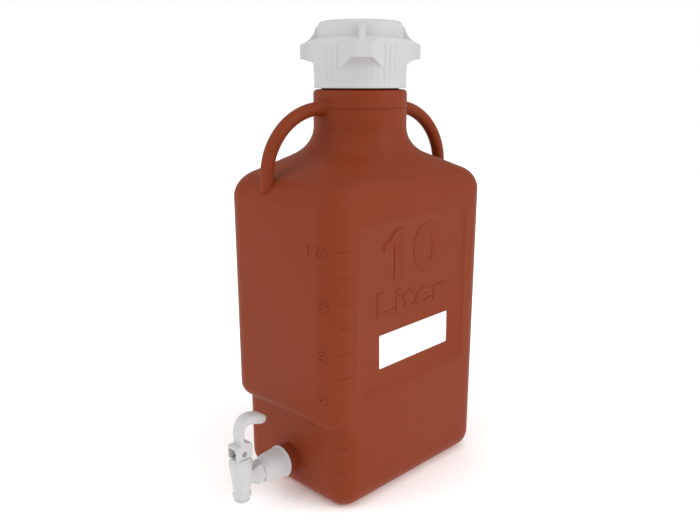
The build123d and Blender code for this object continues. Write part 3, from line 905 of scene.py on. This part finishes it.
    def build(self) -> bpy.types.Object:
        """Builds every mark as one piece on the bottle.

        Returns:
            The marks' piece.
        """
        pieces = [self.ticks()]
        for words, low, high, z in (
            ("10", -13.9, 14.4, 280.6),
            ("8", 0.7, 14.2, 228.6),
            ("6", -0.2, 13.7, 176.4),
            ("4", -1.0, 13.4, 130.2),
        ):
            box = (low, high, z - self.number_half, z + self.number_half)
            pieces.append(self.raised(words, self.text(words, 0.02), box, self.on_corner))
        for name, curve, box in (
            ("one", self.figure_one(0.02), (-49.4, -19.5, 241.0, 294.0)),
            ("nought", self.text("0", 0.045), (-4.0, 44.5, 240.5, 294.5)),
            ("unit", self.text("Liter", 0.03), (-59.0, 55.4, 204.5, 231.5)),
        ):
            pieces.append(self.raised(name, curve, box, self.on_panel))
        marks = joined("volume_marks", pieces)
        shade(marks, BAR_EDGE)
        place(marks, Body.BOTTLE, self.material)
        return marks


@dataclass
class NeckThread:
    """Thread of the neck's finish, a helix under the cap, in millimetres."""

    bottle: Bottle
    material: bpy.types.Material
    pitch: float = 5.08
    turns: float = 4.0
    start_z: float = 446.0
    ridge: float = 1.3
    sunk: float = 0.2

    def build(self) -> bpy.types.Object:
        """Grows the helix by a geometry tree.

        Returns:
            The thread's piece.
        """
        tree, given = group_tree("neck_thread", ("Radius", "Turns", "Rise", "Ridge", "Start"))
        sizes = given.outputs
        spiral = {
            "Resolution": 96,
            "Rotations": sizes["Turns"],
            "Start Radius": sizes["Radius"],
            "End Radius": sizes["Radius"],
            "Height": sizes["Rise"],
        }
        helix = add_node(tree, "GeometryNodeCurveSpiral", spiral)
        ridge = round_bar(tree, helix, sizes["Ridge"], 8)
        lift = add_node(tree, "ShaderNodeCombineXYZ", {"Z": sizes["Start"]})
        raised = add_node(tree, "GeometryNodeTransform", {"Geometry": ridge, "Translation": lift.outputs[0]})
        close_tree(tree, raised.outputs[0], sizes["Material"])
        thread = new_mesh("neck_thread", np.zeros((1, 3)), [])
        grown(
            thread,
            tree,
            {
                "Radius": (self.bottle.finish - self.sunk) * MM,
                "Turns": self.turns,
                "Rise": self.turns * self.pitch * MM,
                "Ridge": self.ridge * MM,
                "Start": self.start_z * MM,
                "Material": self.material,
            },
        )
        shade(thread, BAR_EDGE)
        place(thread, Body.BOTTLE, self.material)
        return thread


# ---------------------------------------------------------------- cap
@dataclass
class ScrewCap:
    """Injection-moulded screw cap: ribbed skirt, raised crown, four lugs with webs, in millimetres."""

    material: bpy.types.Material
    base_z: float = 431.7
    band: float = 49.2
    band_height: float = 5.0
    skirt: float = 48.5
    taper: float = 2.4
    shoulder_z: float = 49.2
    crown_foot: float = 51.0
    crown: float = 45.0
    crown_top: float = 44.4
    crown_round: float = 4.4
    height: float = 67.3
    wall: float = 3.4
    bore: float = 44.5
    seat: float = 48.2
    crown_bore: float = 37.7
    ribs: int = 48
    rib_half: float = 1.25
    rib_rise: float = 0.8
    rib_near_lug: float = 0.3
    rib_low: float = 6.2
    rib_high: float = 44.0
    rib_end: float = 1.5
    rib_fade: tuple[float, float] = (20.0, 30.0)
    lug_turn: float = 46.0
    lug_reach: float = 63.5
    lug_face: float = 20.6
    lug_root: float = 27.0
    lug_top: float = 44.2
    lug_bottom: tuple[float, ...] = (29.0, 29.0, 26.8, 24.9, 21.2, 19.2)
    lug_bottom_turn: tuple[float, ...] = (0.0, 9.0, 14.0, 17.0, 22.0, 27.0)
    lug_softness: float = 0.8
    lug_root_out: float = 5.5
    lug_pull: tuple[float, float] = (6.5, 2.0)
    web_half: float = 3.3
    web_top: float = 62.1
    web_reach: float = 57.7
    web_foot: float = 2.2
    web_start: float = 3.0
    web_sunk: float = 6.0
    web_hollow: float = 2.1
    edge: float = 0.8
    roof_edge: float = 1.2
    roof_centre: float = 2.0
    seat_edge: float = 0.4
    band_edge: float = 0.6
    columns: int = 640
    row_step: float = 0.5

    def side_radius(self, h: np.ndarray) -> np.ndarray:
        """Returns the plain wall's radius at heights above the cap's lower edge."""
        growth = math.tan(math.radians(self.taper))
        wall = np.where(h < self.band_height, self.band, self.skirt + (h - self.band_height) * growth)
        wide = self.skirt + (self.shoulder_z - self.band_height) * growth
        slope = np.interp(h, [self.shoulder_z, self.crown_foot], [wide, self.crown])
        rise = np.interp(h, [self.crown_foot, self.height - self.crown_round], [self.crown, self.crown_top])
        return np.where(h < self.shoulder_z, wall, np.where(h < self.crown_foot, slope, rise))

    def lug_plan(self, turn: np.ndarray) -> np.ndarray:
        """Returns how far a lug reaches at angles from its middle: a flat face and hollow flanks."""
        tip = np.array([self.lug_reach, self.lug_face / 2])
        root = self.bore + self.lug_root_out
        angle = math.radians(self.lug_root)
        foot = np.array([root * math.cos(angle), root * math.sin(angle)])
        pull = np.array([foot[0] + self.lug_pull[0], tip[1] + self.lug_pull[1]])
        t = np.linspace(0, 1, 60)[:, None]
        flank = (1 - t) ** 2 * tip + 2 * t * (1 - t) * pull + t**2 * foot
        angles = np.arctan2(flank[:, 1], flank[:, 0])
        reach = np.hypot(flank[:, 0], flank[:, 1])
        off = np.abs(turn)
        face = self.lug_reach / np.cos(np.minimum(off, angles[0]))
        return np.where(off < angles[0], face, np.interp(off, angles, reach, right=0.0))

    def lug_side(self, h: np.ndarray, off: np.ndarray) -> np.ndarray:
        """Returns how far the lugs reach at heights and angles: sloped above, hollow below."""
        top_slope = (self.crown_foot - self.lug_top) / (self.lug_reach - self.crown)
        upper = self.crown + (self.crown_foot - h) / top_slope
        sides = np.stack((upper, np.full_like(h, self.lug_reach)))
        reach = -self.lug_softness * np.log(np.exp(-sides / self.lug_softness).sum(axis=0))
        lowest = np.interp(np.degrees(np.abs(off)), self.lug_bottom_turn, self.lug_bottom)
        return np.where(h < lowest, 0.0, reach)

    def web_side(self, h: np.ndarray) -> np.ndarray:
        """Returns how far the webs over the lugs reach at heights: a hollow curve."""
        foot = self.lug_top + self.web_foot
        share = np.clip((self.web_top - h) / (self.web_top - foot), 0, 1)
        start = self.crown_top + self.web_start
        reach = start + (self.web_reach - start) * share**self.web_hollow
        return np.where((h > self.web_top) | (h < foot - self.web_sunk), 0.0, reach)

    def outside(self) -> list[np.ndarray]:
        """Rings of the outside, each point's radius the greatest of wall, rib, lug and web."""
        turn = full_turn(self.columns)
        h = np.arange(self.band_edge, self.height - self.crown_round, self.row_step)
        grid_t, grid_h = np.meshgrid(turn, h)
        radius = self.side_radius(grid_h)
        pitch = 2 * math.pi / self.ribs
        run = ((grid_t + pitch / 2) % pitch - pitch / 2) * self.skirt / self.rib_half
        inside = np.minimum(grid_h - self.rib_low, self.rib_high - grid_h)
        ends = np.clip(inside / self.rib_end + 0.5, 0, 1)
        quarter = math.pi / 2
        off = (grid_t - math.radians(self.lug_turn) + quarter / 2) % quarter - quarter / 2
        faded = np.interp(np.degrees(np.abs(off)), self.rib_fade, (self.rib_near_lug, 1.0))
        radius = radius + self.rib_rise * np.sqrt(np.clip(1 - run**2, 0, 1)) * ends * faded
        radius = np.maximum(radius, np.minimum(self.lug_plan(off), self.lug_side(grid_h, off)))
        web = np.minimum(self.web_side(grid_h), self.web_half / np.maximum(np.abs(np.sin(off)), 1e-6))
        radius = self.softened(np.maximum(radius, web))
        return [level_ring(r, turn, self.base_z + z) for r, z in zip(radius, h)]

    @staticmethod
    def softened(radius: np.ndarray) -> np.ndarray:
        """Rounds the edges of a field of radii as a mould does."""
        kernel = np.array([0.06, 0.24, 0.4, 0.24, 0.06])
        for axis in (0, 1):
            total = np.zeros_like(radius)
            for shift, weight in zip(range(-2, 3), kernel):
                if axis == 1:
                    total += weight * np.roll(radius, shift, axis=1)
                else:
                    rows = np.clip(np.arange(len(radius)) + shift, 0, len(radius) - 1)
                    total += weight * radius[rows]
            radius = total
        return radius

    def build(self) -> bpy.types.Object:
        """Builds the cap as one closed shell.

        Returns:
            The cap's piece.
        """
        turn = full_turn(self.columns)
        roof = self.height - self.wall
        inside = [
            (self.roof_centre, roof),
            (self.crown_bore - self.roof_edge, roof),
            (self.crown_bore, roof - self.roof_edge),
            (self.crown_bore, self.seat + self.seat_edge),
            (self.crown_bore + self.seat_edge, self.seat),
            (self.bore - self.edge, self.seat),
            (self.bore, self.seat - self.edge),
            (self.bore, self.edge),
            (self.bore + self.edge, 0.0),
            (self.band - self.band_edge, 0.0),
        ]
        top = self.height - self.crown_round
        crown = []
        for t in np.radians(np.linspace(10, 90, 9)):
            radius = self.crown_top - self.crown_round * (1 - math.cos(t))
            crown.append((radius, top + self.crown_round * math.sin(t)))
        crown += [(self.crown_top * share, self.height) for share in (0.6, 0.25, 0.04)]
        below, above = (
            [level_ring(radius, turn, self.base_z + h) for radius, h in rows] for rows in (inside, crown)
        )
        rings = below + self.outside() + above
        cap = new_mesh("screw_cap", *swept_ring(rings))
        shade(cap, NO_EDGE)
        place(cap, Body.CAP, self.material)
        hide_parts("cap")
        return cap


# ---------------------------------------------------------------- moulded pieces from the solids
@dataclass
class SoftenedSolid:
    """A moulded piece with the solid's shape and the small rounds that a mould leaves."""

    node: str
    name: str
    body: Body
    grain_mm: float
    passes: int
    slot: Slot
    material: bpy.types.Material
    added: Callable[[], bpy.types.Object] | None = None

    def build(self) -> bpy.types.Object:
        """Copies, merges and softens the solid's mesh, with its added form if it has one.

        Returns:
            The piece, which replaces the node.
        """
        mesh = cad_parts[self.node].data.copy()
        mesh.name = self.name
        with opened(mesh) as grid:
            bmesh.ops.remove_doubles(grid, verts=grid.verts, dist=SAME_POINT)
            if self.added:
                extra = self.added()
                recalculate(extra)
                grid.from_mesh(extra.data)
                bpy.data.objects.remove(extra)
        piece = linked(self.name, mesh)
        remesh = piece.modifiers.new("grain", "REMESH")
        remesh.mode = "VOXEL"
        remesh.voxel_size = self.grain_mm * MM
        smooth = piece.modifiers.new("rounds", "SMOOTH")
        smooth.factor = 0.5
        smooth.iterations = self.passes
        baked(piece)
        shade(piece, NO_EDGE)
        place(piece, self.body, self.material)
        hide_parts(self.node)
        return piece


@dataclass
class SpigotForms:
    """Small forms that the spigot's moulded pieces gain, in millimetres."""

    axis_y: float = -175.018
    shank_z: float = 38.8
    hexagon: float = 12.65
    hexagon_rows: tuple[tuple[float, float], ...] = (
        (-151.52, 1.0),
        (-158.1, 1.0),
        (-159.3, 0.93),
        (-161.2, 0.8),
        (-163.4, 0.68),
        (-168.0, 0.6),
    )
    shank: float = 4.3
    hub_top: float = 79.2
    hub_half: float = 7.6
    hub_back: float = 10.0
    strap_back: float = 0.6
    roof_rise: float = 3.4
    roof_depth: float = 1.9
    roof_lip: tuple[float, float, float] = (0.2, 0.8, 0.3)

    def hexagon_cover(self) -> bpy.types.Object:
        """Builds the soft hexagon with its long chamfer towards the valve, open for the stream."""
        turn = full_turn(96)
        off = turn % (math.pi / 3) - math.pi / 6
        flat = self.hexagon * math.cos(math.pi / 6) / np.cos(off)
        rows = [(flat * share, y) for y, share in self.hexagon_rows]
        rows += [(self.shank, rows[-1][1]), (self.shank, rows[0][1]), rows[0]]
        rings = [level_ring(radius, turn, y)[:, (0, 2, 1)] + (0, 0, self.shank_z) for radius, y in rows]
        cover = new_mesh("hexagon_cover", *swept_ring(rings, closed_ends=False))
        with opened(cover.data) as grid:
            bmesh.ops.remove_doubles(grid, verts=grid.verts, dist=SAME_POINT)
        return cover

    def hub_roof(self) -> bpy.types.Object:
        """Builds the sloped roof that closes the lever's hub behind the strap."""
        front, back = self.axis_y + self.strap_back, self.axis_y + self.hub_back
        side = (
            (front, self.hub_top - self.roof_depth),
            (back, self.hub_top - self.roof_depth),
            (back, self.hub_top - self.roof_lip[0]),
            (back - self.roof_lip[1], self.hub_top + self.roof_lip[2]),
            (front, self.hub_top + self.roof_rise),
        )
        ends = [np.array([(x, y, z) for y, z in side]) for x in (-self.hub_half, self.hub_half)]
        return new_mesh("hub_roof", *swept_ring(ends))


# ---------------------------------------------------------------- stage
@dataclass
class Studio:
    """Pale floor, soft lamps and the camera."""

    lens_mm: float = 37.42
    camera_mm: tuple[float, float, float] = (556.23, -576.11, 438.66)
    pitch: float = 75.9373
    azimuth: float = 44.7676
    floor_mm: float = 6000.0
    floor_tone: float = 0.85
    floor_seen: float = 1.3
    floor_glow: float = 0.42
    surround: float = 0.6

    def camera(self) -> None:
        """Sets the camera."""
        data = bpy.data.cameras.new("camera")
        data.lens = self.lens_mm
        data.sensor_width = 36.0
        data.sensor_fit = "HORIZONTAL"
        camera = linked("camera", data)
        camera.location = Vector(self.camera_mm) * MM
        camera.rotation_euler = (math.radians(self.pitch), 0, math.radians(self.azimuth))
        bpy.context.scene.camera = camera

    def lamp(self, name: str, strength: float, angle: float, source: tuple[float, float, float]) -> None:
        """Adds one wide soft sun.

        Args:
            name: Name of the lamp.
            strength: Strength in watts per square metre.
            angle: Apparent width in degrees, which softens its shadows.
            source: Direction that the light comes from.
        """
        data = bpy.data.lights.new(name, "SUN")
        data.energy = strength
        data.angle = math.radians(angle)
        linked(name, data).rotation_euler = Vector(source).to_track_quat("Z", "Y").to_euler()

    def world(self) -> None:
        """Sets a white surround that lights softly and shows white behind the object."""
        world = bpy.data.worlds.new("surround")
        bpy.context.scene.world = world
        tree = emptied(world)
        rays = add_node(tree, "ShaderNodeLightPath").outputs
        kinds = {0: rays["Is Camera Ray"], 1: rays["Is Transmission Ray"]}
        seen = add_node(tree, "ShaderNodeMath", kinds, operation="MAXIMUM")
        light, white = (
            add_node(tree, "ShaderNodeBackground", {"Color": (1, 1, 1, 1), "Strength": strength})
            for strength in (self.surround, 1.0)
        )
        sides = {0: seen.outputs[0], 1: light.outputs[0], 2: white.outputs[0]}
        mix = add_node(tree, "ShaderNodeMixShader", sides)
        add_node(tree, "ShaderNodeOutputWorld", {"Surface": mix.outputs[0]})

    def floor(self) -> None:
        """Adds the pale floor: white to the eye where lit, with the object's soft shadow."""
        half = self.floor_mm / 2
        corners = [(-half, -half, 0), (half, -half, 0), (half, half, 0), (-half, half, 0)]
        piece = new_mesh("floor", np.array(corners), [[0, 1, 2, 3]])
        material = bpy.data.materials.new("painted_floor")
        tree = emptied(material)
        eye = add_node(tree, "ShaderNodeLightPath").outputs["Is Camera Ray"]
        tones = {"Factor": eye, 6: (*[self.floor_tone] * 3, 1), 7: (*[self.floor_seen] * 3, 1)}
        paint = add_node(tree, "ShaderNodeMix", tones, data_type="RGBA")
        shader = add_node(tree, "ShaderNodeBsdfDiffuse", {"Color": paint.outputs[2]})
        fade = {0: eye, 1: -self.floor_glow, 2: self.floor_glow}
        unseen = add_node(tree, "ShaderNodeMath", fade, operation="MULTIPLY_ADD")
        glow = add_node(tree, "ShaderNodeEmission", {"Strength": unseen.outputs[0]})
        both = add_node(tree, "ShaderNodeAddShader", {0: shader.outputs[0], 1: glow.outputs[0]})
        add_node(tree, "ShaderNodeOutputMaterial", {"Surface": both.outputs[0]})
        piece.data.materials.append(material)

    def build(self) -> None:
        """Builds camera, lamps, surround and floor."""
        self.camera()
        self.world()
        self.floor()
        self.lamp("left", 0.85, 50.0, (-0.45, -0.9, 0.55))
        self.lamp("right", 1.15, 40.0, (1.0, 0.42, 0.5))
        self.lamp("above", 0.5, 70.0, (0.2, -0.1, 1.0))
        bpy.context.scene.view_settings.view_transform = "Standard"


# ---------------------------------------------------------------- whole object
def main() -> None:
    """Builds every class in order."""
    logging.basicConfig(level=logging.INFO, format="%(name)s: %(message)s")
    hdpe, white = HDPE.build(), POLYPROPYLENE.build()
    silicone, film, foam = SILICONE.build(), FILM.build(), FOAM.build()
    grey = PIN_PAINTED_SHADE.build()
    bottle = Bottle(hdpe)
    bottle.build()
    VolumeMarks(bottle, hdpe).build()
    NeckThread(bottle, hdpe).build()
    ScrewCap(white).build()
    forms = SpigotForms()
    for node, name, body, grain, passes, added in (
        ("spigot_collar", "screw_collar", Body.BOTTLE, 0.5, 3, None),
        ("valve_body", "valve_housing", Body.BOTTLE, 0.36, 3, forms.hexagon_cover),
        ("bonnet", "valve_bonnet", Body.BOTTLE, 0.4, 3, None),
        ("lever", "tap_lever", Body.LEVER, 0.4, 4, forms.hub_roof),
    ):
        SoftenedSolid(node, name, body, grain, passes, Slot.POLYPROPYLENE, white, added).build()
    for node, material in (
        ("label", film),
        ("cap_liner", foam),
        ("boss_gasket", silicone),
        ("shank_washer", silicone),
        ("seat_cup", silicone),
        ("shank_nut", white),
        ("stem", white),
        # the pin's grey is painted shade, standing for the dark inside of its hole
        ("lever_pin", grey),
    ):
        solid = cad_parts[node]
        solid.data.materials.clear()
        solid.data.materials.append(material)
    Studio().build()


if __name__ == "__main__":
    main()
